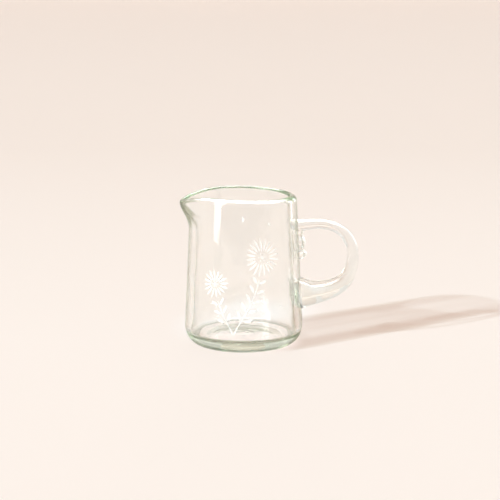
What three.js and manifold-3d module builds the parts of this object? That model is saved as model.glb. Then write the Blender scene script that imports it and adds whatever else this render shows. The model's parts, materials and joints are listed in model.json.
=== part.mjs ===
// A hand-blown glass creamer: a thick tapering vessel with a pouring lip pulled out of its rim, and a
// loop handle of solid glass, laid on at the foot, bent over and pressed down in a crimped tail.
// Millimetres, +Z up. The lip points to -X and the handle to +X. The standing ring lies on z = 0, and
// the origin is under the middle of the overall length.
import * as THREE from "three";
import { mergeVertices } from "three/addons/utils/BufferGeometryUtils.js";
import Module from "manifold-3d";

// Vessel: heights are from the table, radii from the vessel's own axis.
const HEIGHT = 100; // to the top of the rim
const RIM_RADIUS = 34.7; // outside, just under the rounded rim
const SIDE_RADIUS = 38.8; // outside, where the side leaves the rounded bottom edge
const WALL = 4.8; // thickness of the side
const FLOOR = 7; // height of the inner floor at its edge
const FLOOR_CROWN = 1; // how much higher the inner floor is in the middle
const EDGE_IN = 12; // rounded bottom edge, measured inwards
const EDGE_UP = 14; // rounded bottom edge, measured upwards
const INNER_EDGE = 8; // radius between the side and the floor, inside
const RING_WIDTH = 5; // flat standing ring
const KICK = 2; // rise of the underside within the standing ring
const SCAR_RADIUS = 6.5; // round mark in the middle of the underside
const SCAR_DEPTH = 0.8; // how far the mark is sunk into the underside

// Pouring lip, pulled out of the rim towards -X.
const LIP_PULL = 7.4; // beyond the round of the rim
const LIP_DROP = 4; // below the level of the rim
const LIP_DEPTH = 20; // height of side that the pull takes along
const LIP_HALF_ANGLE = 48; // degrees of rim that it takes along, to each side
const LIP_TIP_ANGLE = 3; // degrees over which the tip is rounded
const LIP_HOLLOW = 1.3; // how its sides curve on the way to the tip: 1 is straight, more is hollow
const LIP_THINNING = 1.4; // how much thinner the wall is at the tip

// Handle: a rod that thins from its foot weld to its top weld.
const FOOT_HEIGHT = 33.6; // centre of the rod at the foot weld, above the table
const TOP_DROP = 20.6; // centre of the rod at the top weld, below the rim
const BEND_START = 11; // straight stretches, outwards from the widest part of the vessel
const HANDLE_REACH = 32.9; // furthest centre of the rod, outwards from the same place
const HANDLE_BELLY = 57; // height of that furthest centre
const ROD_FOOT_RADIUS = 6.9; // rod just outside the foot weld
const ROD_TOP_RADIUS = 3.2; // rod just outside the top weld
const ROD_TAPER = 2.2; // how the rod thins: 1 is evenly, more is sooner after the foot
const FOOT_FLARE = 4; // how far the rod spreads up and down the side, at the foot
const FOOT_FLARE_ACROSS = 2; // how far it spreads to each hand there
const FOOT_FLARE_LENGTH = 12; // how far that spread reaches along the rod
const TOP_FLARE = 0.7; // how far the rod spreads on the side, at the top
const TOP_FLARE_LENGTH = 6; // how far that spread reaches along the rod

// Tail of the handle, pressed down on the side under the top weld.
const TAIL_LENGTH = 22; // downwards from the rod's centre
const TAIL_HALF_WIDTH = 4.4; // along Y
const TAIL_THICKNESS = 3.6; // outwards from the side
const TAIL_SINK = 1.2; // how far inside the line of the side its middle lies before it is trimmed
const CRIMP_COUNT = 3; // ridges of the tool's bite
const CRIMP_DEPTH = 0.6; // half the height of a ridge
const TAIL_END_FLAT = 0.2; // share of the tail's section that its rounded end leaves flat

// Welds.
const WELD_GAP = 0.3; // left between the two pieces of glass
const WELD_BITE = 2.4; // how far inside the line of the side the rod's ends lie before they are trimmed

// How finely the round shapes are divided.
const SEGMENTS = 72; // around the vessel
const EDGE_STEPS = 6; // along each rounded corner
const LIP_STEPS = 6; // up the part of the side that the lip takes along
const ROD_SIDES = 20;
const ROD_STEPS = 44;
const TAIL_STEPS = 24;
const MERGE_DISTANCE = 1e-3; // points closer than this are one point

const wasm = await Module();
wasm.setup();

// Outer radius of the straight side at a height.
function sideRadius(height) {
  const share = (height - EDGE_UP) / (HEIGHT - WALL / 2 - EDGE_UP);
  return THREE.MathUtils.lerp(SIDE_RADIUS, RIM_RADIUS, share);
}

// Points of an elliptical arc, angles in degrees, without the first one.
function arc(centreR, centreZ, radiusR, radiusZ, from, to, steps) {
  const points = [];
  for (let i = 1; i <= steps; i++) {
    const angle = THREE.MathUtils.degToRad(THREE.MathUtils.lerp(from, to, i / steps));
    const r = centreR + radiusR * Math.cos(angle);
    const z = centreZ + radiusZ * Math.sin(angle);
    points.push(new THREE.Vector2(r, z));
  }
  return points;
}

// Half section of the vessel, from the middle of the underside round to the middle of the inner floor.
function vesselSection() {
  const ringOuter = SIDE_RADIUS - EDGE_IN;
  const ringInner = ringOuter - RING_WIDTH;
  const rimBase = HEIGHT - WALL / 2;
  const cornerZ = FLOOR + INNER_EDGE;
  const cornerR = sideRadius(cornerZ) - WALL - INNER_EDGE;
  const section = [new THREE.Vector2(0, KICK + SCAR_DEPTH)];
  section.push(...arc(0, KICK, SCAR_RADIUS, SCAR_DEPTH, 90, 0, EDGE_STEPS));
  for (let i = 1; i <= EDGE_STEPS; i++) {
    const share = i / EDGE_STEPS;
    const r = THREE.MathUtils.lerp(SCAR_RADIUS, ringInner, share);
    section.push(new THREE.Vector2(r, KICK * (1 - share ** 2)));
  }
  section.push(new THREE.Vector2(ringOuter, 0));
  section.push(...arc(ringOuter, EDGE_UP, EDGE_IN, EDGE_UP, -90, 0, EDGE_STEPS));
  const lipHeights = [];
  for (let i = 0; i < LIP_STEPS; i++) {
    lipHeights.push(THREE.MathUtils.lerp(HEIGHT - LIP_DEPTH, rimBase, i / LIP_STEPS));
  }
  for (const z of lipHeights) {
    section.push(new THREE.Vector2(sideRadius(z), z));
  }
  section.push(new THREE.Vector2(RIM_RADIUS, rimBase));
  section.push(...arc(RIM_RADIUS - WALL / 2, rimBase, WALL / 2, WALL / 2, 0, 180, EDGE_STEPS));
  for (const z of lipHeights.reverse()) {
    section.push(new THREE.Vector2(sideRadius(z) - WALL, z));
  }
  section.push(new THREE.Vector2(cornerR + INNER_EDGE, cornerZ));
  section.push(...arc(cornerR, cornerZ, INNER_EDGE, INNER_EDGE, 0, -90, EDGE_STEPS));
  section.push(new THREE.Vector2(0, FLOOR + FLOOR_CROWN));
  return section;
}

// Moves the glass near -X outwards and down, most at the rim and on the lip's own line. The inside
// moves a little further than the outside, so that the lip is thinner than the side.
function pullLip(position) {
  const tip = THREE.MathUtils.degToRad(LIP_TIP_ANGLE);
  const spread = Math.hypot(THREE.MathUtils.degToRad(LIP_HALF_ANGLE), tip) - tip;
  const point = new THREE.Vector3();
  for (let i = 0; i < position.count; i++) {
    point.fromBufferAttribute(position, i);
    const rise = 1 - (HEIGHT - point.z) / LIP_DEPTH;
    const nearness = 1 - (Math.hypot(Math.atan2(point.y, -point.x), tip) - tip) / spread;
    if (rise <= 0 || nearness <= 0) continue;
    const share = rise * nearness ** LIP_HOLLOW;
    const inwards = (sideRadius(point.z) - Math.hypot(point.x, point.y)) / WALL;
    const thinning = LIP_THINNING * THREE.MathUtils.clamp(inwards, 0, 1);
    point.x -= (LIP_PULL + thinning) * share;
    point.z -= LIP_DROP * share;
    position.setXYZ(i, point.x, point.y, point.z);
  }
}

function vessel() {
  const geometry = new THREE.LatheGeometry(vesselSection(), SEGMENTS);
  geometry.rotateX(Math.PI / 2);
  pullLip(geometry.attributes.position);
  geometry.computeVertexNormals();
  return geometry;
}

// A closed rod along a curve in the XZ plane. The half thickness in that plane and the half width along
// Y are functions of the distance from the curve's start and of its whole length.
function rodAlong(curve, steps, thicknessAt, widthAt) {
  const geometry = new THREE.CylinderGeometry(1, 1, 1, ROD_SIDES, steps);
  const position = geometry.attributes.position;
  const length = curve.getLength();
  for (let i = 0; i < position.count; i++) {
    const along = position.getY(i) + 0.5;
    const distance = along * length;
    const centre = curve.getPointAt(along);
    const tangent = curve.getTangentAt(along);
    const out = position.getX(i) * thicknessAt(distance, length);
    const across = position.getZ(i) * widthAt(distance, length);
    position.setXYZ(i, centre.x + tangent.z * out, -across, centre.z - tangent.x * out);
  }
  return geometry;
}

// Extra radius at a distance from the place where a rod spreads on the side.
function flare(distance, height, reach) {
  return height * Math.max(0, 1 - distance / reach) ** 2;
}

// A quarter of an ellipse that fits in the corner between its two ends.
function quarterTurn(start, corner, end) {
  const roundness = 0.5523; // makes a cubic curve follow an ellipse
  const leave = start.clone().lerp(corner, roundness);
  const arrive = end.clone().lerp(corner, roundness);
  return new THREE.CubicBezierCurve3(start, leave, arrive, end);
}

// The rod of the handle, from inside the side at the foot, out, up and back inside the side.
function handleRod() {
  const topHeight = HEIGHT - TOP_DROP;
  const bendX = SIDE_RADIUS + BEND_START;
  const reachX = SIDE_RADIUS + HANDLE_REACH;
  const footWeld = new THREE.Vector3(sideRadius(FOOT_HEIGHT) - WELD_BITE, 0, FOOT_HEIGHT);
  const footBend = new THREE.Vector3(bendX, 0, FOOT_HEIGHT);
  const belly = new THREE.Vector3(reachX, 0, HANDLE_BELLY);
  const topBend = new THREE.Vector3(bendX, 0, topHeight);
  const topWeld = new THREE.Vector3(sideRadius(topHeight) - WELD_BITE, 0, topHeight);
  const path = new THREE.CurvePath();
  path.add(new THREE.LineCurve3(footWeld, footBend));
  path.add(quarterTurn(footBend, new THREE.Vector3(reachX, 0, FOOT_HEIGHT), belly));
  path.add(quarterTurn(belly, new THREE.Vector3(reachX, 0, topHeight), topBend));
  path.add(new THREE.LineCurve3(topBend, topWeld));
  const radiusWith = (footFlare) => (distance, length) => {
    const taper = (ROD_FOOT_RADIUS - ROD_TOP_RADIUS) * (1 - distance / length) ** ROD_TAPER;
    const foot = flare(distance - WELD_BITE, footFlare, FOOT_FLARE_LENGTH);
    const top = flare(length - distance - WELD_BITE, TOP_FLARE, TOP_FLARE_LENGTH);
    return ROD_TOP_RADIUS + taper + foot + top;
  };
  return rodAlong(path, ROD_STEPS, radiusWith(FOOT_FLARE), radiusWith(FOOT_FLARE_ACROSS));
}

// The tail runs down the outside of the side. Its crimps are waves in its thickness, and its end is round.
function handleTail() {
  const startHeight = HEIGHT - TOP_DROP;
  const endHeight = startHeight - TAIL_LENGTH;
  const path = new THREE.LineCurve3(
    new THREE.Vector3(sideRadius(startHeight) - TAIL_SINK, 0, startHeight),
    new THREE.Vector3(sideRadius(endHeight) - TAIL_SINK, 0, endHeight),
  );
  const endRound = (distance, length) => {
    const past = THREE.MathUtils.clamp(1 - (length - distance) / TAIL_THICKNESS, 0, 1);
    return Math.max(TAIL_END_FLAT, Math.sqrt(1 - past ** 2));
  };
  const thicknessAt = (distance, length) => {
    const wave = Math.cos((2 * Math.PI * CRIMP_COUNT * distance) / length);
    return (TAIL_SINK + TAIL_THICKNESS - CRIMP_DEPTH * wave) * endRound(distance, length);
  };
  const widthAt = (distance, length) => TAIL_HALF_WIDTH * endRound(distance, length);
  return rodAlong(path, TAIL_STEPS, thicknessAt, widthAt);
}

// The space that the vessel's side takes up, grown by the gap at the welds.
function sideSpace() {
  const bottom = new THREE.Vector2(sideRadius(0) + WELD_GAP, 0);
  const top = new THREE.Vector2(sideRadius(HEIGHT) + WELD_GAP, HEIGHT);
  const section = [new THREE.Vector2(0, 0), bottom, top, new THREE.Vector2(0, HEIGHT)];
  return new THREE.LatheGeometry(section, SEGMENTS).rotateX(Math.PI / 2);
}

function solidOf(geometry) {
  const bare = new THREE.BufferGeometry();
  bare.setAttribute("position", geometry.attributes.position);
  bare.setIndex(geometry.index);
  const merged = mergeVertices(bare, MERGE_DISTANCE);
  const mesh = new wasm.Mesh({
    numProp: 3,
    vertProperties: merged.attributes.position.array,
    triVerts: new Uint32Array(merged.index.array),
  });
  return new wasm.Manifold(mesh);
}

function geometryOf(solid) {
  const mesh = solid.getMesh();
  const geometry = new THREE.BufferGeometry();
  geometry.setAttribute("position", new THREE.BufferAttribute(mesh.vertProperties, 3));
  geometry.setIndex(new THREE.BufferAttribute(mesh.triVerts, 1));
  geometry.computeVertexNormals();
  return geometry;
}

function handle() {
  const looped = solidOf(handleRod()).add(solidOf(handleTail()));
  return geometryOf(looped.subtract(solidOf(sideSpace())));
}

function glass() {
  return new THREE.MeshStandardMaterial({
    color: 0xe3ebdf,
    roughness: 0.04,
    metalness: 0,
    transparent: true,
    opacity: 0.4,
  });
}

const bodyMesh = new THREE.Mesh(vessel(), glass());
bodyMesh.name = "body";
const handleMesh = new THREE.Mesh(handle(), glass());
handleMesh.name = "handle";

const jug = new THREE.Group();
jug.add(bodyMesh, handleMesh);
jug.position.x = -new THREE.Box3().setFromObject(jug).getCenter(new THREE.Vector3()).x;

const creamer = new THREE.Group();
creamer.name = "creamer";
creamer.add(jug);

export default creamer;
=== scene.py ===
# %% [markdown]
# # A hand-blown glass creamer
#
# The real creamer is two bits of clear glass: a thick bubble that was blown, opened and pulled out into a
# pouring lip, and a rod that was laid on hot and looped into a handle. This lesson rebuilds both around the
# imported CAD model, which fixes their size and place, and then gives them the things that CAD leaves out:
# soft melted joins, waves, seeds, wheel engraving and real glass.
#
# Everything is in metres, in the CAD frame: +X from the lip to the handle, +Z up, the floor at zero.

# %% Load the CAD frame
import json
import math

import bpy
from mathutils import Matrix, Vector

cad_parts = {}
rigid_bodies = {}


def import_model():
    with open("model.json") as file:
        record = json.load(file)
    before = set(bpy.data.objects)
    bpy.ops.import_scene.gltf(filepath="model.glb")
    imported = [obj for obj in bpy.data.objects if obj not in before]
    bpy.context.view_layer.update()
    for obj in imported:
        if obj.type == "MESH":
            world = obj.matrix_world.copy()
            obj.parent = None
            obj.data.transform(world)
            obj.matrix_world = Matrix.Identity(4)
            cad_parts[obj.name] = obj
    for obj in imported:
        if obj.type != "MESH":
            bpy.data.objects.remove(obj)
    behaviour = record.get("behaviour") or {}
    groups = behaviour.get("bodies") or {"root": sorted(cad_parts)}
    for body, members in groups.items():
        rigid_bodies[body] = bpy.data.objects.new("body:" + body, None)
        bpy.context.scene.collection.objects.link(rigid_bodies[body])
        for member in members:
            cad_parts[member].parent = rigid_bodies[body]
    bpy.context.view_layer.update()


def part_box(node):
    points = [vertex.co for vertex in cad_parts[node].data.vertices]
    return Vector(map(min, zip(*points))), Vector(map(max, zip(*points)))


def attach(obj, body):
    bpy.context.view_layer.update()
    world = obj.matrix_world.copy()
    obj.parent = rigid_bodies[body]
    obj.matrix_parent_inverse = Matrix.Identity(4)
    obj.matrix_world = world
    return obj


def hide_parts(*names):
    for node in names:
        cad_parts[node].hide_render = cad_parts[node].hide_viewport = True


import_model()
_, body_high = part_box("body")
handle_low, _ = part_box("handle")
MM = 0.001

# %% [markdown]
# ## Two helpers
#
# An operator works on whatever is selected, and loading leaves the CAD nodes selected. So the first helper
# leaves just one object selected and active. The second adds a modifier, sets it and applies it at once, as
# you would by pressing Ctrl-A on it, so that the next step starts from a plain mesh.

# %% Selecting one object, applying one modifier
def pick(piece):
    bpy.ops.object.select_all(action="DESELECT")
    piece.select_set(True)
    bpy.context.view_layer.objects.active = piece


def shape_with(piece, kind, **settings):
    pick(piece)
    step = piece.modifiers.new(kind.lower(), kind)
    for name, value in settings.items():
        setattr(step, name, value)
    bpy.ops.object.modifier_apply(modifier=step.name)
    print(piece.name, "after", kind.lower(), "has", len(piece.data.polygons), "faces")


print("selected after loading:", len(bpy.context.selected_objects), "objects")

# %% [markdown]
# ## The body: half a section
#
# A blown vessel is round because it was turned on the pipe, so half of its section is enough. The section
# starts at the pontil mark, where the rod was snapped off under the jug, runs out to the standing ring, up
# the outside, over the fire-polished rim, down the inside and in to the middle of the floor. It could be
# drawn as a curve, but a chain of points made from a few sizes is easier to change.

# %% The sizes of the body
HEIGHT = 100 * MM
RIM_RADIUS = 34.7 * MM
SIDE_RADIUS = 38.8 * MM
WALL = 4.8 * MM
FLOOR = 7.7 * MM
FLOOR_CROWN = 0.6 * MM
EDGE_IN = 10 * MM
EDGE_UP = 13 * MM
INNER_EDGE = 2.5 * MM
RING_WIDTH = 5 * MM
KICK = 2 * MM
SCAR_RADIUS = 6.5 * MM
SCAR_DEPTH = 0.8 * MM
RIM_BASE = HEIGHT - WALL / 2
RIM_OUTSIDE = 3.7 * MM
RIM_INSIDE = WALL - RIM_OUTSIDE
AXIS_X = body_high.x - SIDE_RADIUS
print("the vessel's axis stands at x =", round(AXIS_X / MM, 3), "mm")


# %% Straight lines and bows
def side_radius(height):
    """The outer radius of the tapering side at a height."""
    share = (height - EDGE_UP) / (RIM_BASE - EDGE_UP)
    return SIDE_RADIUS + (RIM_RADIUS - SIDE_RADIUS) * share


def straight(start, end, steps):
    return [(start[0] + (end[0] - start[0]) * i / steps, start[1] + (end[1] - start[1]) * i / steps)
            for i in range(1, steps + 1)]


def bow(centre, radii, start, end, steps):
    """Points on an ellipse, from one angle in degrees to another."""
    angles = [math.radians(start + (end - start) * i / steps) for i in range(1, steps + 1)]
    return [(centre[0] + radii[0] * math.cos(a), centre[1] + radii[1] * math.sin(a)) for a in angles]


print("side radius half way up:", round(side_radius(HEIGHT / 2) / MM, 2), "mm")

# %% The chain of points
ring_outer = SIDE_RADIUS - EDGE_IN
ring_inner = ring_outer - RING_WIDTH
corner_z = FLOOR + INNER_EDGE
corner_r = side_radius(corner_z) - WALL - INNER_EDGE
rim_start = side_radius(HEIGHT - RIM_OUTSIDE)
rim_centre = rim_start - RIM_OUTSIDE


def underside(steps):
    """From the scar down and out to the standing ring."""
    return [(SCAR_RADIUS + (ring_inner - SCAR_RADIUS) * i / steps, KICK * (1 - (i / steps) ** 2))
            for i in range(1, steps + 1)]


def inner_floor(steps):
    """From the inner corner up and in to the axis."""
    return [(corner_r * (1 - i / steps), FLOOR + FLOOR_CROWN * (1 - (1 - i / steps) ** 2))
            for i in range(1, steps + 1)]


section = [(0, KICK + SCAR_DEPTH)]
section += bow((0, KICK), (SCAR_RADIUS, SCAR_DEPTH), start=90, end=0, steps=8)
section += underside(steps=8)
section += straight(section[-1], (ring_outer, 0), steps=4)
section += bow((ring_outer, EDGE_UP), (EDGE_IN, EDGE_UP), start=-90, end=0, steps=14)
section += straight(section[-1], (rim_start, HEIGHT - RIM_OUTSIDE), steps=30)
section += bow((rim_centre, HEIGHT - RIM_OUTSIDE), (RIM_OUTSIDE, RIM_OUTSIDE), start=0, end=90, steps=7)
section += bow((rim_centre, HEIGHT - RIM_INSIDE), (RIM_INSIDE, RIM_INSIDE), start=90, end=180, steps=5)
section += straight(section[-1], (corner_r + INNER_EDGE, corner_z), steps=30)
section += bow((corner_r, corner_z), (INNER_EDGE, INNER_EDGE), start=0, end=-90, steps=8)
section += inner_floor(steps=12)
print("the half section has", len(section), "points")

# %% [markdown]
# ## Spinning the section
#
# A plane is merged down to a single point, which is moved to the start of the section and extruded from
# point to point. The spin then sweeps the chain round the axis, as the blower's pipe does. A Screw modifier
# could do that too, but the operator shows each step. Its last copy lies on the first, and all its ends meet
# on the axis, so the doubles are merged before the normals are turned outwards. A subdivision makes the round
# even, because glass shows every flat.

# %% Extrude, spin, merge, smooth
ROUND_STEPS = 96
MERGE_WITHIN = 0.01 * MM
bpy.ops.object.select_all(action="DESELECT")
bpy.ops.mesh.primitive_plane_add(size=1 * MM, location=(0, 0, 0))
body = bpy.context.object
body.name = "creamer_body"
bpy.ops.object.mode_set(mode="EDIT")
bpy.ops.mesh.select_all(action="SELECT")
bpy.ops.mesh.merge(type="CENTER")
place = Vector((AXIS_X + section[0][0], 0, section[0][1]))
bpy.ops.transform.translate(value=place)
for radius, height in section[1:]:
    step = Vector((AXIS_X + radius, 0, height)) - place
    bpy.ops.mesh.extrude_region_move(TRANSFORM_OT_translate={"value": step})
    place += step
bpy.ops.mesh.select_all(action="SELECT")
bpy.ops.mesh.spin(steps=ROUND_STEPS, angle=math.tau, center=(AXIS_X, 0, 0), axis=(0, 0, 1))
bpy.ops.mesh.select_all(action="SELECT")
bpy.ops.mesh.remove_doubles(threshold=MERGE_WITHIN)
bpy.ops.mesh.normals_make_consistent(inside=False)
bpy.ops.object.mode_set(mode="OBJECT")
shape_with(body, "SUBSURF", levels=1, render_levels=1)

# %% [markdown]
# ## The pouring lip
#
# While the rim is soft, the maker rests it on two points of a tool and draws the glass between them out and
# down with a third. So the pull is greatest at the rim and on the lip's own line, and fades down the side
# and along the rim. Proportional editing would pull a round patch; a weight for each point gives the true
# shape, and a Displace modifier along one axis moves every point by its weight. The inside goes a little
# further than the outside, which leaves the lip thinner than the wall.

# %% How strongly each point is pulled
LIP_DEPTH = 24 * MM
LIP_HOLLOW = 1.3
LIP_HALF_ANGLE = math.radians(48)
LIP_TIP_ANGLE = math.radians(3)


def smooth_share(value, low, high):
    """Zero up to low, one from high on, and a soft slope between."""
    t = min(max((value - low) / (high - low), 0), 1)
    return t * t * (3 - 2 * t)


def lip_weight(point):
    rise = smooth_share(point.z, HEIGHT - LIP_DEPTH, HEIGHT)
    off_line = math.hypot(math.atan2(point.y, AXIS_X - point.x), LIP_TIP_ANGLE) - LIP_TIP_ANGLE
    nearness = 1 - off_line / (math.hypot(LIP_HALF_ANGLE, LIP_TIP_ANGLE) - LIP_TIP_ANGLE)
    return rise * nearness ** LIP_HOLLOW if nearness > 0 else 0


def from_axis(point):
    return math.hypot(point.x - AXIS_X, point.y)


def depth_in_wall(point):
    """Zero on the outside of the wall, one on the inside."""
    inwards = (side_radius(point.z) - from_axis(point)) / WALL
    return min(max(inwards, 0), 1)


print("the pull spreads over", round(2 * math.degrees(LIP_HALF_ANGLE)), "degrees of the rim")

# %% Pull the lip
LIP_PULL = 7.4 * MM
LIP_DROP = 4 * MM
LIP_THINNING = 1.4 * MM


def weigh(piece, name, weight_at):
    group = piece.vertex_groups.new(name=name)
    for vertex in piece.data.vertices:
        group.add([vertex.index], weight_at(vertex.co), "REPLACE")


def push(piece, group, axis, distance):
    shape_with(piece, "DISPLACE", vertex_group=group, direction=axis, strength=distance, mid_level=0)


weigh(body, "lip", lip_weight)
weigh(body, "lip_inside", lambda point: lip_weight(point) * depth_in_wall(point))
push(body, "lip", "X", -LIP_PULL)
push(body, "lip_inside", "X", -LIP_THINNING)
push(body, "lip", "Z", -LIP_DROP)
print("the lip reaches to x =", round(min(v.co.x for v in body.data.vertices) / MM, 2), "mm")

# %% [markdown]
# ## Made by hand
#
# No blown rim is quite level: this one sinks a little towards the handle. The walls also keep the marks of
# the work, slow waves all over and fine upright streaks inside, where the tool opened the neck. A bump in the
# material could hint at them, but only a real dent bends what lies behind the glass, so they are made with a
# Displace modifier and a cloud texture. An empty, scaled tall, carries the texture's coordinates, so the
# clouds are drawn out along the wall. The standing ring stays flat, and the scar under it is rough.

# %% A sinking rim
RIM_SAG = 1.3 * MM
SAG_BEGINS = -0.6 * RIM_RADIUS
SAG_ABOVE = 0.4 * HEIGHT


def sag_weight(point):
    towards_handle = smooth_share(point.x - AXIS_X, SAG_BEGINS, RIM_RADIUS)
    return towards_handle * smooth_share(point.z, SAG_ABOVE, HEIGHT)


weigh(body, "sag", sag_weight)
push(body, "sag", "Z", -RIM_SAG)

# %% Waves, streaks and the scar
WAVE_HEIGHT = 0.35 * MM
STREAK_HEIGHT = 0.16 * MM
SCAR_HEIGHT = 0.7 * MM


def ripple(piece, group, height, grain, stretch):
    clouds = bpy.data.textures.new(group + "_clouds", "CLOUDS")
    clouds.noise_scale = 1
    clouds.noise_depth = 1
    bpy.ops.object.select_all(action="DESELECT")
    bpy.ops.object.empty_add(location=(AXIS_X, 0, 0))
    ruler = bpy.context.object
    ruler.scale = (grain, grain, grain * stretch)
    bpy.context.view_layer.update()
    shape_with(piece, "DISPLACE", vertex_group=group, strength=height, mid_level=0.5,
               texture=clouds, texture_coords="OBJECT", texture_coords_object=ruler)
    bpy.data.objects.remove(ruler)


def scar_weight(point):
    under_floor = 1 * MM < point.z < 4 * MM
    return 1 - smooth_share(from_axis(point), low=5 * MM, high=9 * MM) if under_floor else 0


weigh(body, "waves", lambda point: smooth_share(point.z, low=1 * MM, high=12 * MM))
ripple(body, "waves", WAVE_HEIGHT, grain=16 * MM, stretch=1.6)
weigh(body, "streaks", lambda point: depth_in_wall(point) * smooth_share(point.z, low=9 * MM, high=30 * MM))
ripple(body, "streaks", STREAK_HEIGHT, grain=3.5 * MM, stretch=9)
weigh(body, "scar", scar_weight)
ripple(body, "scar", SCAR_HEIGHT, grain=3 * MM, stretch=1)

# %% [markdown]
# ## The handle: two soft rods
#
# The handle is one bit of hot glass. It was dabbed on at the foot, where it spread, drawn up and round
# while it thinned, pressed on again under the rim, and its tail was folded down and crimped with pincers.
# It could be a circle extruded ring by ring, but a Bezier curve with a round bevel is a natural rod: each
# point carries its own radius. One curve makes the loop and a second one the lumpy tail. The points are the
# rod's centre and radius, in millimetres from the vessel's axis.

# %% The lines of the rods
LOOP = (
    (33.5, 32.4, 11.6), (38.9, 32.6, 9.6), (44.2, 32.6, 7.5), (50.5, 33.7, 6.45), (58.6, 35.9, 5.55),
    (66.4, 41.1, 4.65), (70.5, 49.4, 4.0), (71.5, 58.0, 3.75), (69.5, 67.4, 3.6), (64.5, 74.0, 3.35),
    (57.0, 78.0, 3.2), (48.0, 79.35, 3.3), (41.0, 78.7, 3.6), (34.0, 78.0, 4.4),
)
TAIL = (
    (35.6, 79.5, 3.4), (35.8, 75.2, 3.7), (36.0, 71.6, 2.9), (36.1, 68.9, 3.9), (36.1, 66.2, 4.6),
    (36.2, 63.6, 3.2), (36.3, 61.7, 3.3), (36.5, 59.2, 5.1), (36.6, 57.2, 3.4), (36.6, 55.9, 1.6),
)
thinnest = min(radius for _, _, radius in LOOP)
print("the rod is", 2 * LOOP[0][2], "mm thick at the foot and", 2 * thinnest, "mm at its thinnest")

# %% Rods from curves
ROD_STEPS = 16
ROD_FACETS = 24


def rod(name, line):
    bpy.ops.object.select_all(action="DESELECT")
    bpy.ops.curve.primitive_bezier_curve_add()
    piece = bpy.context.object
    piece.name = name
    bpy.ops.object.mode_set(mode="EDIT")
    bpy.ops.curve.subdivide(number_cuts=len(line) - 2)
    bpy.ops.object.mode_set(mode="OBJECT")
    piece.data.dimensions = "3D"
    piece.data.resolution_u = ROD_STEPS
    piece.data.bevel_resolution = ROD_FACETS
    piece.data.bevel_depth = 1 * MM
    piece.data.use_fill_caps = True
    for point, (x, z, radius) in zip(piece.data.splines[0].bezier_points, line):
        point.handle_left_type = point.handle_right_type = "AUTO"
        point.co = (AXIS_X + x * MM, 0, z * MM)
        point.radius = radius
    pick(piece)
    bpy.ops.object.convert(target="MESH")
    bpy.ops.object.mode_set(mode="EDIT")
    bpy.ops.mesh.select_all(action="SELECT")
    bpy.ops.mesh.remove_doubles(threshold=MERGE_WITHIN)
    bpy.ops.mesh.normals_make_consistent(inside=False)
    bpy.ops.object.mode_set(mode="OBJECT")
    print(name, "has", len(piece.data.polygons), "faces")
    return piece


handle = rod("creamer_handle", LOOP)
tail = rod("tail", TAIL)

# %% [markdown]
# ## A flat top on the lower arm
#
# The lower arm of the loop is not round. It was laid down, pressed and drawn while it stiffened, so it is
# wider than it is high and its top is flat, with a soft edge that catches a long white light. A square bevel
# on the curve would flatten the whole loop, so two steps of Displace do it here. The first swells the upper
# two diagonals along the normals, which turns a half circle into a rounded square. The second draws the near
# and the far half apart. The amount for a point comes from where it lies round the rod's middle line, and
# fades out where the arm turns up into the loop.

# %% How a point lies in the rod
def place_in_rod(point):
    """How far inside the loop's middle line a point lies, and the rod's radius and height there."""
    x, z = (point.x - AXIS_X) / MM, point.z / MM
    found = []
    for (x0, z0, r0), (x1, z1, r1) in zip(LOOP, LOOP[1:]):
        dx, dz = x1 - x0, z1 - z0
        length = math.hypot(dx, dz)
        run = min(max(((x - x0) * dx + (z - z0) * dz) / length ** 2, 0), 1)
        apart = math.hypot(x - x0 - run * dx, z - z0 - run * dz)
        inside = ((z - z0) * dx - (x - x0) * dz) / length
        found.append((apart, inside, r0 + run * (r1 - r0), z0 + run * dz))
    return min(found)[1:]


print("the loop's line has", len(LOOP) - 1, "stretches")

# %% Swell the edges, widen the arm
SQUARENESS = 6
FULL_SWELL = 2.5 * MM
FULL_WIDTH = 10 * MM
WIDENING = 0.4


def square_weight(point):
    inside, radius, height = place_in_rod(point)
    turn = math.atan2(-point.y / MM, inside)
    powers = abs(math.cos(turn)) ** SQUARENESS + abs(math.sin(turn)) ** SQUARENESS
    swell = radius * MM * (powers ** (-1 / SQUARENESS) - 1)
    upper = smooth_share(inside / radius, low=-0.5, high=0.1)
    return min(swell / FULL_SWELL, 1) * upper * (1 - smooth_share(height, low=52, high=68))


def half_weight(point, side):
    _, _, height = place_in_rod(point)
    past_foot = smooth_share(point.x - AXIS_X, low=36 * MM, high=46 * MM)
    off_middle = min(max(side * point.y / FULL_WIDTH, 0), 1)
    return off_middle * past_foot * (1 - smooth_share(height, low=46, high=64))


weigh(handle, "square", square_weight)
push(handle, "square", "NORMAL", FULL_SWELL)
weigh(handle, "near_half", lambda point: half_weight(point, -1))
weigh(handle, "far_half", lambda point: half_weight(point, 1))
push(handle, "near_half", "Y", -WIDENING * FULL_WIDTH)
push(handle, "far_half", "Y", WIDENING * FULL_WIDTH)

# %% [markdown]
# ## Melting the rods together
#
# Hot glass flows into one skin with round inner corners. A union would leave a crease there, so the two rods
# are joined as they are and remeshed by voxels, which keeps only the outer skin, and then smoothed, which
# fills the corners as surface tension does. A last faint ripple keeps the rod from looking turned.

# %% Join, remesh, smooth
VOXEL = 0.4 * MM
ROD_WAVE_HEIGHT = 0.25 * MM
pick(handle)
tail.select_set(True)
bpy.ops.object.join()
shape_with(handle, "REMESH", mode="VOXEL", voxel_size=VOXEL)
shape_with(handle, "SMOOTH", factor=0.5, iterations=8)
weigh(handle, "all", lambda point: 1)
ripple(handle, "all", ROD_WAVE_HEIGHT, grain=9 * MM, stretch=1)

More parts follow.
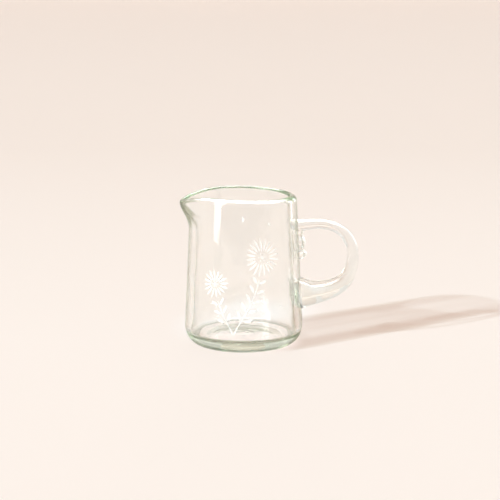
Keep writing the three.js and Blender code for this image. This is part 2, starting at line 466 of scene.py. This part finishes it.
# %% [markdown]
# ## The welds
#
# The hot rod took the shape of the wall where it was pressed on. Its ends could simply run into the wall, but
# glass inside glass shows. So a copy of the body, grown by a hair, is taken out of the handle: its ends then
# fit every wave of the wall, and the two pieces stay separate. What is left inside the jug goes with a
# cylinder.

# %% Fit the handle to the wall
WELD_SLACK = 0.03 * MM
pick(body)
bpy.ops.object.duplicate()
wall_copy = bpy.context.object
shape_with(wall_copy, "DISPLACE", strength=WELD_SLACK, mid_level=0)
bpy.ops.object.select_all(action="DESELECT")
bpy.ops.mesh.primitive_cylinder_add(vertices=ROUND_STEPS, radius=RIM_RADIUS - WALL / 2, depth=HEIGHT,
                                    location=(AXIS_X, 0, HEIGHT / 2))
hollow = bpy.context.object
for cutter in (wall_copy, hollow):
    shape_with(handle, "BOOLEAN", operation="DIFFERENCE", solver="MANIFOLD", object=cutter)
    bpy.data.objects.remove(cutter)
handle_start = min(v.co.x for v in handle.data.vertices)
print("the handle starts at x =", round(handle_start / MM, 2), "mm, in CAD at", round(handle_low.x / MM, 2))

# %% [markdown]
# ## Wheel engraving
#
# The front is engraved: small copper wheels, fed with grit, grind shallow lens-shaped cuts that stay white.
# The drawing here is a plain old one, two daisies on leafy stems. It could be a picture on the surface, but
# then the strokes would have no depth. So each cut is a stretched ball that a Boolean takes out of the
# wall, a real hollow with a crisp edge. One ball is modelled and copied; each copy gets its place on the
# unrolled wall (along, up), a turn, a length and a width, in millimetres and degrees.

# %% One grinding lens
LENS_DEPTH = 0.9 * MM
LENS_LIFT = 0.5 * MM
strokes = bpy.data.collections.new("strokes")
bpy.context.scene.collection.children.link(strokes)
bpy.ops.object.select_all(action="DESELECT")
bpy.ops.mesh.primitive_uv_sphere_add(segments=20, ring_count=10, radius=1)
lens = bpy.context.object
lens.name = "lens"
print("the lens has", len(lens.data.polygons), "faces")


# %% A stroke on the wall
def tag(piece, name, value):
    layer = piece.data.attributes.get(name) or piece.data.attributes.new(name, "FLOAT", "FACE")
    layer.data.foreach_set("value", [value] * len(piece.data.polygons))


def wall_frame(along, up, inwards=0):
    """Which way the wall faces at a place of the unrolled wall, and where that is."""
    angle = along * MM / side_radius(HEIGHT / 2)
    radius = side_radius(up * MM) - inwards
    out = Vector((math.sin(angle), -math.cos(angle), 0))
    side = Vector((math.cos(angle), math.sin(angle), 0))
    spot = Vector((AXIS_X, 0, up * MM)) + out * radius
    rise = Vector((0, 0, 1)) + out * (RIM_RADIUS - SIDE_RADIUS) / (RIM_BASE - EDGE_UP)
    out = side.cross(rise)
    return Matrix((side, rise.normalized(), out.normalized())).transposed().to_4x4(), spot


def stroke(along, up, turn, length, width):
    facing, spot = wall_frame(along, up)
    grow = 1 / math.sqrt(1 - (LENS_LIFT / LENS_DEPTH) ** 2)
    size = Matrix.Diagonal((length * MM / 2 * grow, width * MM / 2 * grow, LENS_DEPTH, 1))
    spin = Matrix.Rotation(math.radians(turn), 4, "Z")
    lift = Matrix.Translation((0, 0, LENS_LIFT))
    copy = bpy.data.objects.new("stroke", lens.data.copy())
    copy.data.transform(Matrix.Translation(spot) @ facing @ lift @ spin @ size)
    strokes.objects.link(copy)
    tag(copy, "cut", 1)


print("a stroke goes", round((LENS_DEPTH - LENS_LIFT) / MM, 2), "mm deep")

# %% Daisies, stems and leaves
FIRST_PETAL = 7
SHORT_PETAL, PETAL_PLAY = 0.93, 0.07
HEART = 0.9
DOTS = 6
DOT_RING, DOT_WIDTH = 0.72, 0.9
STEM_OVERLAP = 1.15
LEAF_TURN = 48
LEAF_GAP = 0.8
LEAF_SHRINK = 0.05


def daisy(along, up, petals, inner, outer, width):
    for i in range(petals):
        turn = 360 * i / petals + FIRST_PETAL
        reach = outer * (SHORT_PETAL + PETAL_PLAY * math.cos(3 * math.radians(turn)))
        middle = (inner + reach) / 2
        a, u = math.cos(math.radians(turn)), math.sin(math.radians(turn))
        stroke(along + middle * a, up + middle * u, turn, reach - inner, width)
    stroke(along, up, 0, inner * HEART, inner * HEART)
    for i in range(DOTS):
        turn = math.radians(360 / DOTS * i)
        a, u = math.cos(turn), math.sin(turn)
        stroke(along + DOT_RING * inner * a, up + DOT_RING * inner * u, 0, DOT_WIDTH, DOT_WIDTH)


def stem(points, width):
    for (a0, u0), (a1, u1) in zip(points, points[1:]):
        turn = math.degrees(math.atan2(u1 - u0, a1 - a0))
        length = math.hypot(a1 - a0, u1 - u0) * STEM_OVERLAP
        stroke((a0 + a1) / 2, (u0 + u1) / 2, turn, length, width)


def leaves(points, length, width):
    for i, ((a0, u0), (a1, u1)) in enumerate(zip(points, points[1:])):
        along_stem = math.degrees(math.atan2(u1 - u0, a1 - a0))
        for side in (1, -1):
            turn = along_stem + side * LEAF_TURN
            reach = length * (1 - LEAF_SHRINK * i)
            a = (a0 + a1) / 2 + (reach / 2 + LEAF_GAP) * math.cos(math.radians(turn))
            u = (u0 + u1) / 2 + (reach / 2 + LEAF_GAP) * math.sin(math.radians(turn))
            stroke(a, u, turn, reach, width)


print("a daisy's heart is one cut with", DOTS, "dots round it")

# %% The drawing
RIGHT_STEM = ((-6.0, 14), (-3.4, 19.5), (0, 25), (3.2, 31), (6.0, 37), (8.4, 43), (10.2, 49))
LEFT_STEM = ((-6.4, 14), (-9.0, 19), (-12.0, 24), (-14.6, 29.5), (-16.6, 35))
daisy(along=12.5, up=63.5, petals=20, inner=3.4, outer=13.5, width=1.5)
daisy(along=-18.8, up=46.0, petals=16, inner=2.6, outer=9.8, width=1.3)
stem(RIGHT_STEM, width=0.9)
stem(LEFT_STEM, width=0.9)
leaves(RIGHT_STEM[1:], length=7.5, width=2.0)
leaves(LEFT_STEM[1:], length=6.0, width=1.7)

# %% [markdown]
# ## Seeds
#
# Hand-made glass keeps a few small bubbles, called seeds, drawn out upwards as the wall was stretched. They
# are air, so they are hollows inside the wall, and the Boolean that cuts the drawing can take them out as
# well. They get the frosted white of a cut, a painted highlight for the glint of a bubble. Two have broken
# through the skin near the rim and are left as small open dents.

# %% Bubbles in the wall
SEED_DEPTH = WALL * 0.42
SEEDS = (
    (26.0, 30.5, 0.6, 0.9), (-26.0, 24.0, 0.5, 0.8),
    (60.0, 52.0, 0.6, 1.6), (95.0, 74.0, 0.5, 1.4), (120.0, 40.0, 0.7, 1.3), (148.0, 66.0, 0.5, 1.5),
)
OPEN_SEEDS = ((-0.3, 88.1, 1.5, 3.6), (-15.6, 94.5, 1.2, 1.2))
# Painted highlight: `cut` gives every seed the frosted white of the ground strokes.
for along, up, width, height in SEEDS:
    facing, spot = wall_frame(along, up, inwards=SEED_DEPTH)
    bubble = bpy.data.objects.new("seed", lens.data.copy())
    size = Matrix.Diagonal((width * MM / 2, height * MM / 2, width * MM / 2, 1))
    bubble.data.transform(Matrix.Translation(spot) @ facing @ size)
    strokes.objects.link(bubble)
    tag(bubble, "cut", 1)
for along, up, width, height in OPEN_SEEDS:
    stroke(along, up, turn=90, length=height, width=width)
print("seeds:", len(SEEDS) + len(OPEN_SEEDS))

# %% [markdown]
# ## Painted shade on the edges of the glass
#
# Seen along its skin, glass looks darker and greener: down the sides of the jug, round the far rim, under
# the lip and where the wall turns into the floor. Part of that is the green of a long path through the glass,
# part is light that the glass bends away; here both are painted into the surface colour as shade. Each face
# keeps two numbers for that. `wall` says whether the skin belongs to the wall and takes painted shade where
# it is seen edge-on, and `deep` how much painted shade it shows from every side. The floor has neither, as it
# is always seen along its skin and would go dark. The numbers could be painted by hand; worked out from each
# face's place, they follow the shape when a size changes.

# %% The places with painted shade
LIP_ROOT_OUT = 39.8 * MM
LIP_ROOT_UP = 93 * MM
LIP_SLANT_OUT, LIP_SLANT_DOWN = 0.882, 0.47


def between(value, low, high, soft):
    return smooth_share(value, low - soft, low) * (1 - smooth_share(value, high, high + soft))


# Painted shade: the far half of the rim goes dark green.
def far_rim(point):
    sunk = RIM_SAG * sag_weight(point) + LIP_DROP * lip_weight(point)
    far_side = smooth_share(point.y, low=-12 * MM, high=10 * MM)
    return smooth_share(point.z + sunk, low=98.4 * MM, high=99.0 * MM) * far_side


# Painted shade: a dark band along the flank under the lip.
def lip_flank(point):
    out = LIP_SLANT_OUT * (AXIS_X - point.x - LIP_ROOT_OUT) + LIP_SLANT_DOWN * (LIP_ROOT_UP - point.z)
    under_rim = between(point.z, low=82 * MM, high=96 * MM, soft=3.5 * MM)
    return smooth_share(out, low=-1.3 * MM, high=0.3 * MM) * under_rim


# Painted shade: a dark line round the near half of the inner corner, and a thin one beside it on the outer
# wall.
def inner_corner(point):
    near_side = 1 - smooth_share(point.y, low=-15 * MM, high=10 * MM)
    corner = between(from_axis(point), low=32.5 * MM, high=34.6 * MM, soft=0.8 * MM)
    corner *= between(point.z, low=7 * MM, high=9.2 * MM, soft=1 * MM)
    beside = between(point.z, low=7.9 * MM, high=9.0 * MM, soft=0.5 * MM)
    beside *= smooth_share(from_axis(point), low=36 * MM, high=37 * MM)
    return near_side * max(corner, beside)


# Painted shade: a darker band round the foot.
def foot(point):
    on_edge = smooth_share(from_axis(point), low=28 * MM, high=30 * MM)
    return between(point.z, low=1 * MM, high=6 * MM, soft=1 * MM) * on_edge


print("the lip leaves the wall", round(LIP_ROOT_OUT / MM, 1), "mm from the axis")

# %% Two numbers for every face
# How strongly each place is darkened by painted shade.
FAR_RIM_SHADE = 0.56
CORNER_SHADE = 0.94
FOOT_SHADE = 0.32
HANDLE_EDGE_SHADE = 0.1
HANDLE_SHADE = 0.035


def edge_shade_share(point):
    return smooth_share(from_axis(point), low=28.6 * MM, high=29.6 * MM)


def green_shade_share(point):
    return max(FAR_RIM_SHADE * far_rim(point), lip_flank(point), CORNER_SHADE * inner_corner(point),
               FOOT_SHADE * foot(point))


def paint(piece, name, share_at):
    layer = piece.data.attributes.new(name, "FLOAT", "FACE")
    layer.data.foreach_set("value", [share_at(face.center) for face in piece.data.polygons])


# The two numbers carry painted shade: `wall` where the skin is seen edge-on, `deep` from every side.
paint(body, "wall", edge_shade_share)
paint(body, "deep", green_shade_share)
# The handle gets a little painted shade all over.
tag(handle, "wall", HANDLE_EDGE_SHADE)
tag(handle, "deep", HANDLE_SHADE)
tag(body, "cut", 0)
tag(handle, "cut", 0)
print("deeper faces:", sum(face.value > 0.1 for face in body.data.attributes["deep"].data))

# %% [markdown]
# ## Cutting
#
# All strokes and seeds lie in one collection, so a single Boolean takes them out of the wall. The manifold
# solver is quick and keeps the numbers on the faces, and the new faces bring the `cut` of the stroke along.
# Shading by angle then keeps the crisp edge of each stroke on the smooth wall.

# %% Cut the drawing and the seeds
CREASE = math.radians(35)
shape_with(body, "BOOLEAN", operation="DIFFERENCE", solver="MANIFOLD", operand_type="COLLECTION",
           collection=strokes)
for cutter in list(strokes.objects):
    bpy.data.objects.remove(cutter)
bpy.data.collections.remove(strokes)
bpy.data.objects.remove(lens)
for piece in (body, handle):
    pick(piece)
    bpy.ops.object.shade_smooth_by_angle(angle=CREASE)
    piece.vertex_groups.clear()
    piece.data.calc_loop_triangles()
    print(piece.name, "has", len(piece.data.loop_triangles), "triangles")
print("ground faces:", sum(f.value > 0.5 for f in body.data.attributes["cut"].data))

# %% [markdown]
# ## The glass
#
# Clear glass has no colour of its own on the surface. What shows is what it bends and mirrors, and a faint
# green where light runs a long way inside: that is the volume absorption. It could do the whole work, but
# then the edges stay too pale under soft light, so the two numbers of each face paint a dark green shade
# there. A faint bump, drawn out upwards, stands for streaks too fine to model. The ground cuts scatter light,
# so on them the same shader turns rough and only partly clear.

# %% A material and helpers for its nodes
glass = bpy.data.materials.new("clear_glass")
glass.use_nodes = True
nodes, links = glass.node_tree.nodes, glass.node_tree.links
surface = nodes["Principled BSDF"]
output = nodes["Material Output"]


def node(kind, **settings):
    made = nodes.new(kind)
    for name, value in settings.items():
        setattr(made, name, value)
    return made


def ranged(value, start, end, low, high):
    """A number that goes from low to high as the value goes from start to end."""
    made = node("ShaderNodeMapRange")
    for name, number in (("From Min", start), ("From Max", end), ("To Min", low), ("To Max", high)):
        made.inputs[name].default_value = number
    links.new(value, made.inputs["Value"])
    return made.outputs["Result"]


def times(first, second):
    made = node("ShaderNodeMath", operation="MULTIPLY")
    links.new(first, made.inputs[0])
    links.new(second, made.inputs[1])
    return made.outputs["Value"]


print("a new material has", len(nodes), "nodes")

# %% Fine upright streaks
DRAWN_OUT = (1, 1, 0.12)
STREAK_SCALE = 260
RELIEF = 0.09
RELIEF_DEPTH = 0.4 * MM
where = node("ShaderNodeTexCoord")
drawn_out = node("ShaderNodeMapping")
drawn_out.inputs["Scale"].default_value = DRAWN_OUT
links.new(where.outputs["Object"], drawn_out.inputs["Vector"])


def upright_noise(scale, detail):
    made = node("ShaderNodeTexNoise")
    made.inputs["Scale"].default_value = scale
    made.inputs["Detail"].default_value = detail
    links.new(drawn_out.outputs["Vector"], made.inputs["Vector"])
    return made.outputs["Fac"]


streaks = upright_noise(STREAK_SCALE, detail=2)
relief = node("ShaderNodeBump")
relief.inputs["Strength"].default_value = RELIEF
relief.inputs["Distance"].default_value = RELIEF_DEPTH
links.new(streaks, relief.inputs["Height"])
links.new(relief.outputs["Normal"], surface.inputs["Normal"])
print("a streak is about", round(1 / STREAK_SCALE / MM, 1), "mm wide")

# %% Painted shade, dark green, on the edges
EDGE_BEGINS, EDGE_FULL = 0.6, 0.84
CLEAR = (1, 1, 1, 1)
SHADE_GREEN = (0.22, 0.25, 0.16, 1)
# A Mix node keeps sockets for several kinds of data; these are the places of its colour sockets.
COLOUR_A, COLOUR_B, COLOUR_MIXED = 6, 7, 2
# Painted shade: the colour goes dark green where the wall is seen edge-on, and wherever `deep` says.
edge = node("ShaderNodeLayerWeight")
edge.inputs["Blend"].default_value = 0.5
edge_shade_here = node("ShaderNodeAttribute", attribute_name="wall")
green_shade_here = node("ShaderNodeAttribute", attribute_name="deep")
grazing = ranged(edge.outputs["Facing"], EDGE_BEGINS, EDGE_FULL, low=0, high=1)
either = node("ShaderNodeMath", operation="MAXIMUM")
links.new(times(grazing, edge_shade_here.outputs["Fac"]), either.inputs[0])
links.new(green_shade_here.outputs["Fac"], either.inputs[1])
painted_shade = node("ShaderNodeMix", data_type="RGBA")
painted_shade.inputs[COLOUR_A].default_value = CLEAR
painted_shade.inputs[COLOUR_B].default_value = SHADE_GREEN
links.new(either.outputs["Value"], painted_shade.inputs["Factor"])
links.new(painted_shade.outputs[COLOUR_MIXED], surface.inputs["Base Color"])
print("the edges go to", SHADE_GREEN[:3])

# %% Clear glass and ground cuts
GLASS_IOR = 1.5
GLASS_TINT = (0.41, 0.63, 0.28, 1)
GLASS_DENSITY = 4.5
GROUND_CLEAR = 0.76
GROUND_ROUGH = 0.55
STREAK_ROUGH = 0.02
surface.inputs["IOR"].default_value = GLASS_IOR
cut = node("ShaderNodeAttribute", attribute_name="cut")
clear_share = ranged(cut.outputs["Fac"], 0, 1, low=1, high=GROUND_CLEAR)
links.new(clear_share, surface.inputs["Transmission Weight"])
fine = node("ShaderNodeMath", operation="MULTIPLY")
fine.inputs[1].default_value = STREAK_ROUGH
links.new(streaks, fine.inputs[0])
ground = node("ShaderNodeMath", operation="MULTIPLY_ADD")
ground.inputs[1].default_value = GROUND_ROUGH
links.new(cut.outputs["Fac"], ground.inputs[0])
links.new(fine.outputs["Value"], ground.inputs[2])
links.new(ground.outputs["Value"], surface.inputs["Roughness"])
depth = node("ShaderNodeVolumeAbsorption")
depth.inputs["Color"].default_value = GLASS_TINT
depth.inputs["Density"].default_value = GLASS_DENSITY
links.new(depth.outputs["Volume"], output.inputs["Volume"])
print("glass with index", GLASS_IOR, "and tint", GLASS_TINT[:3])

# %% [markdown]
# ## The shadow of a glass
#
# A glass throws no plain shadow. Light goes nearly straight through its front and back and is thrown aside
# where the wall turns away, which leaves bright and dark streaks. True caustics are noisy and slow. So for
# the shadow rays of the lamps the surface is simply transparent, and a ramp by its angle to the light says
# how much it lets through. Height, side and a noise of upright cords make that uneven, as hand-made glass
# does.

# %% How much light each part lets through
BENDS = ((0, 1.0), (0.14, 1.0), (0.26, 0.88), (0.40, 0.82), (0.58, 0.88), (1, 0.80))
CORD_SCALE = 90
bend = node("ShaderNodeValToRGB")
bend.color_ramp.interpolation = "B_SPLINE"
for place, let_through in BENDS:
    stop = bend.color_ramp.elements.new(place)
    stop.color = (let_through, let_through, let_through, 1)
bend.color_ramp.elements.remove(bend.color_ramp.elements[0])
bend.color_ramp.elements.remove(bend.color_ramp.elements[-1])
links.new(edge.outputs["Facing"], bend.inputs["Fac"])
upright = node("ShaderNodeSeparateXYZ")
links.new(where.outputs["Object"], upright.inputs["Vector"])
by_height = ranged(upright.outputs["Z"], start=25 * MM, end=95 * MM, low=1, high=0.92)
by_side = ranged(upright.outputs["Y"], start=15 * MM, end=-35 * MM, low=1, high=0.90)
by_cords = ranged(upright_noise(CORD_SCALE, detail=1), start=0.47, end=0.62, low=1, high=0.90)
shade = times(times(times(bend.outputs["Color"], by_height), by_side), by_cords)
print("the ramp has", len(bend.color_ramp.elements), "stops")

# %% Let the lamps through, and give both pieces their glass
path = node("ShaderNodeLightPath")
through = node("ShaderNodeBsdfTransparent")
choose = node("ShaderNodeMixShader")
links.new(shade, through.inputs["Color"])
links.new(path.outputs["Is Shadow Ray"], choose.inputs["Fac"])
links.new(surface.outputs["BSDF"], choose.inputs[1])
links.new(through.outputs["BSDF"], choose.inputs[2])
links.new(choose.outputs["Shader"], output.inputs["Surface"])
for piece, cad_node in ((body, "body"), (handle, "handle")):
    piece.data.materials.clear()
    piece.data.materials.append(glass)
    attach(piece, "root")
    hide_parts(cad_node)
print("glass on", body.name, "and", handle.name)

# %% [markdown]
# ## A paper sweep
#
# Glass is nothing without its surroundings. A sheet of warm pale paper lies under the jug and curves up
# behind it, so there is no horizon, as a floor and a wall would give. It is a plane whose back edge is
# extruded upwards and whose fold is bevelled into a wide cove. Its front edge ends a little before the
# camera: the wall mirrors that edge, and so its upper part looks a shade darker than its lower part. The
# paper's colour is painted darker towards the back, as shade for light that falls off with distance.

# %% A long sheet
SWEEP_WIDTH = 4.0
SWEEP_FRONT = -0.66
SWEEP_BACK = 7.5
SHEET_DROP = 0.05 * MM
bpy.ops.object.select_all(action="DESELECT")
bpy.ops.mesh.primitive_plane_add(size=1, location=(0, 0, 0))
sweep = bpy.context.object
sweep.name = "paper_sweep"
bpy.ops.object.mode_set(mode="EDIT")
bpy.ops.mesh.select_all(action="SELECT")
bpy.ops.transform.resize(value=(SWEEP_WIDTH, SWEEP_BACK - SWEEP_FRONT, 1))
bpy.ops.transform.translate(value=(0, (SWEEP_BACK + SWEEP_FRONT) / 2, -SHEET_DROP))
bpy.ops.mesh.select_all(action="DESELECT")
bpy.ops.object.mode_set(mode="OBJECT")
print("the sheet is", SWEEP_WIDTH, "by", SWEEP_BACK - SWEEP_FRONT, "m")

# %% Fold its back edge up
SWEEP_RISE = 4.0
COVE = 1.6
CLOSE = 0.01


def at_back(point):
    return point.y > SWEEP_BACK - CLOSE


for edge_line in sweep.data.edges:
    edge_line.select = all(at_back(sweep.data.vertices[i].co) for i in edge_line.vertices)
for vertex in sweep.data.vertices:
    vertex.select = at_back(vertex.co)
bpy.ops.object.mode_set(mode="EDIT")
bpy.ops.mesh.extrude_region_move(TRANSFORM_OT_translate={"value": (0, 0, SWEEP_RISE)})
bpy.ops.object.mode_set(mode="OBJECT")
for edge_line in sweep.data.edges:
    ends = [sweep.data.vertices[i].co for i in edge_line.vertices]
    edge_line.select = all(at_back(end) and end.z < CLOSE for end in ends)
bpy.ops.object.mode_set(mode="EDIT")
bpy.ops.mesh.select_mode(type="EDGE")
bpy.ops.mesh.bevel(offset=COVE, segments=24, affect="EDGES")
bpy.ops.mesh.select_all(action="SELECT")
bpy.ops.mesh.normals_make_consistent(inside=False)
bpy.ops.object.mode_set(mode="OBJECT")
bpy.ops.object.shade_smooth()
print("sweep faces:", len(sweep.data.polygons))

# %% Paper
# Painted shade: the paper's colour darkens from near to far, for light falling off towards the back.
PAPER_NEAR = (0.975, 0.920, 0.870, 1)
PAPER_SHADED_MIDDLE = (0.896, 0.822, 0.762, 1)
PAPER_SHADED_FAR = (0.795, 0.713, 0.655, 1)
FAR_AWAY = 5
MIDDLE_SHARE = 0.2
paper = bpy.data.materials.new("warm_paper")
paper.use_nodes = True
sheet_nodes, sheet_links = paper.node_tree.nodes, paper.node_tree.links
spot = sheet_nodes.new("ShaderNodeTexCoord")
apart = sheet_nodes.new("ShaderNodeSeparateXYZ")
fade = sheet_nodes.new("ShaderNodeMapRange")
fade.inputs["From Min"].default_value = 0
fade.inputs["From Max"].default_value = FAR_AWAY
shades = sheet_nodes.new("ShaderNodeValToRGB")
shades.color_ramp.elements[0].color = PAPER_NEAR
shades.color_ramp.elements[1].color = PAPER_SHADED_FAR
shades.color_ramp.elements.new(MIDDLE_SHARE).color = PAPER_SHADED_MIDDLE
sheet_links.new(spot.outputs["Object"], apart.inputs["Vector"])
sheet_links.new(apart.outputs["Y"], fade.inputs["Value"])
sheet_links.new(fade.outputs["Result"], shades.inputs["Fac"])
skin = sheet_nodes["Principled BSDF"]
sheet_links.new(shades.outputs["Color"], skin.inputs["Base Color"])
skin.inputs["Roughness"].default_value = 0.9
skin.inputs["Specular IOR Level"].default_value = 0
sweep.data.materials.append(paper)
print("paper colour", PAPER_NEAR[:3], "to", PAPER_SHADED_FAR[:3])

# %% [markdown]
# ## Light
#
# Three far lamps make the light of a bright room. A small cool one, low at the left, throws the long crisp
# shadow. The other two, above and in front, are warm and throw none: they only fill. What the glass shows of
# the room is set apart from what lights it. To mirrored and bent rays the room is pale at the back and dim in
# front, and this contrast draws the edges of the glass. Seen directly it is pale all round.

# %% The colours of the room
ROOM_GLOW = (0.04, 0.035, 0.031, 1)
ROOM_SEEN = (0.88, 0.84, 0.80, 1)
ROOM_DIM = (0.25, 0.245, 0.24, 1)
DIM_FRONT, PALE_BACK = -0.5, 0.3
world = bpy.data.worlds.new("studio")
bpy.context.scene.world = world
world.use_nodes = True
air, air_links = world.node_tree.nodes, world.node_tree.links
glow = air["Background"]
glow.inputs["Color"].default_value = ROOM_GLOW
seen = air.new("ShaderNodeBackground")
rays = air.new("ShaderNodeLightPath")


def greater(first, second):
    made = air.new("ShaderNodeMath")
    made.operation = "MAXIMUM"
    air_links.new(first, made.inputs[0])
    air_links.new(second, made.inputs[1])
    return made.outputs["Value"]


direction = air.new("ShaderNodeTexCoord")
parts = air.new("ShaderNodeSeparateXYZ")
backwards = air.new("ShaderNodeMapRange")
backwards.inputs["From Min"].default_value = DIM_FRONT
backwards.inputs["From Max"].default_value = PALE_BACK
walls = air.new("ShaderNodeMix")
walls.data_type = "RGBA"
walls.inputs[COLOUR_A].default_value = ROOM_DIM
walls.inputs[COLOUR_B].default_value = ROOM_SEEN
air_links.new(direction.outputs["Generated"], parts.inputs["Vector"])
air_links.new(parts.outputs["Y"], backwards.inputs["Value"])
air_links.new(greater(backwards.outputs["Result"], rays.outputs["Is Camera Ray"]), walls.inputs["Factor"])
air_links.new(walls.outputs[COLOUR_MIXED], seen.inputs["Color"])
print("room glow", ROOM_GLOW[:3], "seen as", ROOM_SEEN[:3])

# %% Which rays see the room
mirrored_too = greater(rays.outputs["Is Camera Ray"], rays.outputs["Is Glossy Ray"])
bent_too = greater(mirrored_too, rays.outputs["Is Transmission Ray"])
room = air.new("ShaderNodeMixShader")
air_links.new(bent_too, room.inputs["Fac"])
air_links.new(glow.outputs["Background"], room.inputs[1])
air_links.new(seen.outputs["Background"], room.inputs[2])
air_links.new(room.outputs["Shader"], air["World Output"].inputs["Surface"])
print("the room's world has", len(air), "nodes")

# %% Lamps
JUG_MIDDLE = Vector((AXIS_X, 0, HEIGHT / 2))
WARM = (1.0, 0.80, 0.70)
COOL = (0.68, 0.90, 1.0)


def away_from_jug(bearing, elevation):
    """Bearing is counted in degrees from the camera's side, to the left."""
    b, e = math.radians(bearing), math.radians(elevation)
    return Vector((-math.sin(b) * math.cos(e), -math.cos(b) * math.cos(e), math.sin(e)))


def far_lamp(name, bearing, elevation, spread, strength, colour, shadow):
    away = away_from_jug(bearing, elevation)
    bpy.ops.object.light_add(type="SUN", location=JUG_MIDDLE + away)
    lamp = bpy.context.object
    lamp.name = name
    lamp.rotation_euler = away.to_track_quat("Z", "Y").to_euler()
    lamp.data.angle = math.radians(spread)
    lamp.data.energy = strength
    lamp.data.color = colour
    lamp.data.use_shadow = shadow
    return lamp


key = far_lamp("key", bearing=54, elevation=27, spread=1.2, strength=3.1, colour=COOL, shadow=True)
overhead = far_lamp("overhead", bearing=0, elevation=90, spread=0, strength=1.35, colour=WARM, shadow=False)
front = far_lamp("front", bearing=0, elevation=25, spread=0, strength=1.7, colour=WARM, shadow=False)
for fill in (overhead, front):
    fill.visible_glossy = fill.visible_transmission = False
print("lamps:", key.name, overhead.name, front.name)

# %% [markdown]
# ## Light gathered by the jug
#
# A thick glass base works as a lens and throws light on the table. That would be caustics again, so two spots
# from straight above stand in for it: one inside the standing ring, and a wider, bluish one behind the jug.
# They throw no shadow and are not mirrored.

# %% The light that the jug gathers
SPOT_HEIGHT = 1.0
BLUISH = (0.32, 0.70, 1.0)
NEARLY_WHITE = (0.85, 0.88, 1.0)


def pool(name, right, back, width, energy, colour, blend):
    bpy.ops.object.light_add(type="SPOT", location=(AXIS_X + right, back, SPOT_HEIGHT))
    lamp = bpy.context.object
    lamp.name = name
    lamp.data.energy = energy
    lamp.data.color = colour
    lamp.data.spot_size = math.radians(width)
    lamp.data.spot_blend = blend
    lamp.data.use_shadow = False
    lamp.visible_glossy = lamp.visible_transmission = False
    return lamp


gathered = pool("gathered", right=2 * MM, back=72 * MM, width=10, energy=8, colour=BLUISH, blend=1)
gathered.rotation_euler.z = math.radians(-20)
gathered.scale = (0.6, 1, 1)
focused = pool("focused", right=4 * MM, back=0, width=4.2, energy=19, colour=NEARLY_WHITE, blend=0.7)
print("pools of light:", gathered.name, focused.name)

# %% [markdown]
# ## Cards
#
# Photographers set white cards round a glass, because its brilliance is only what it mirrors. Area lamps
# could do it, but they would light the floor as well. These are planes that glow for mirrored and bent rays
# alone, so that they draw the highlights and change nothing in the light on the floor. The glow fades
# towards the corners of a card, which gives the highlights soft ends.

# %% A card that only glass sees
CARD_MIDDLE = (0.5, 0.5, 0)
CARD_FADES, CARD_DARK = 0.45, 0.62


def glowing(name, strength):
    white = bpy.data.materials.new(name)
    white.use_nodes = True
    made, wires = white.node_tree.nodes, white.node_tree.links
    lit = made.new("ShaderNodeEmission")
    corner = made.new("ShaderNodeTexCoord")
    fall = made.new("ShaderNodeVectorMath")
    fall.operation = "DISTANCE"
    fall.inputs[1].default_value = CARD_MIDDLE
    soft = made.new("ShaderNodeMapRange")
    soft.inputs["From Min"].default_value = CARD_DARK
    soft.inputs["From Max"].default_value = CARD_FADES
    soft.inputs["To Max"].default_value = strength
    wires.new(corner.outputs["UV"], fall.inputs[0])
    wires.new(fall.outputs["Value"], soft.inputs["Value"])
    wires.new(soft.outputs["Result"], lit.inputs["Strength"])
    wires.new(lit.outputs["Emission"], made["Material Output"].inputs["Surface"])
    return white


def card(name, bearing, elevation, distance, width, height, strength):
    away = away_from_jug(bearing, elevation)
    bpy.ops.object.select_all(action="DESELECT")
    bpy.ops.mesh.primitive_plane_add(size=1, location=JUG_MIDDLE + away * distance)
    sheet = bpy.context.object
    sheet.name = name
    sheet.scale = (width, height, 1)
    sheet.rotation_euler = away.to_track_quat("Z", "Y").to_euler()
    bpy.ops.object.transform_apply(location=True, rotation=True, scale=True)
    sheet.visible_camera = sheet.visible_diffuse = sheet.visible_shadow = False
    sheet.data.materials.append(glowing(name, strength))
    print(name, "stands", distance, "m away")
    return sheet


# %% White cards for the highlights
card("left_card", bearing=56, elevation=26, distance=0.55, width=0.22, height=0.62, strength=8)
right_card = card("right_card", bearing=-142, elevation=12, distance=0.6, width=0.16, height=0.26, strength=5)
side_card = card("side_card", bearing=-120, elevation=14, distance=0.6, width=0.10, height=0.50, strength=5)
top_card = card("top_card", bearing=180, elevation=76, distance=1.2, width=2.4, height=2.0, strength=13)
for sheet in (right_card, side_card, top_card):
    sheet.visible_transmission = False

# %% [markdown]
# ## Camera
#
# The camera stands where the photographer's stood: a little above the rim, square to the side of the jug,
# with a long lens. Its place could be found by eye. Here the focal length was worked out in pixels of the
# picture, which Blender's lens setting takes as a share of the sensor's width.

# %% The camera
CAMERA_BACK = 1.1
CAMERA_UP = 0.27079
CAMERA_RIGHT = 4.165 * MM
CAMERA_DOWN = math.radians(10.758)
FOCAL_PIXELS = 1708.95
IMAGE_PIXELS = 500
SENSOR_WIDTH = 36
bpy.ops.object.camera_add(location=(AXIS_X + CAMERA_RIGHT, -CAMERA_BACK, CAMERA_UP),
                          rotation=(math.pi / 2 - CAMERA_DOWN, 0, 0))
camera = bpy.context.object
camera.data.sensor_width = SENSOR_WIDTH
camera.data.lens = FOCAL_PIXELS / IMAGE_PIXELS * SENSOR_WIDTH
bpy.context.scene.camera = camera
print("lens", round(camera.data.lens, 1), "mm")

# %% [markdown]
# ## Render settings that glass needs
#
# Light crosses many surfaces in a jug, so the limits on bounces are raised. Caustics stay off: the shadow
# comes from the transparent shadow rays, without their noise.

# %% Bounces and view transform
GLASS_BOUNCES = 160
SHADOW_LAYERS = 32
scene = bpy.context.scene
scene.cycles.max_bounces = GLASS_BOUNCES
scene.cycles.transmission_bounces = GLASS_BOUNCES
scene.cycles.glossy_bounces = GLASS_BOUNCES
scene.cycles.transparent_max_bounces = SHADOW_LAYERS
scene.cycles.caustics_reflective = False
scene.cycles.caustics_refractive = False
scene.view_settings.view_transform = "Standard"
print("bounces", scene.cycles.max_bounces)
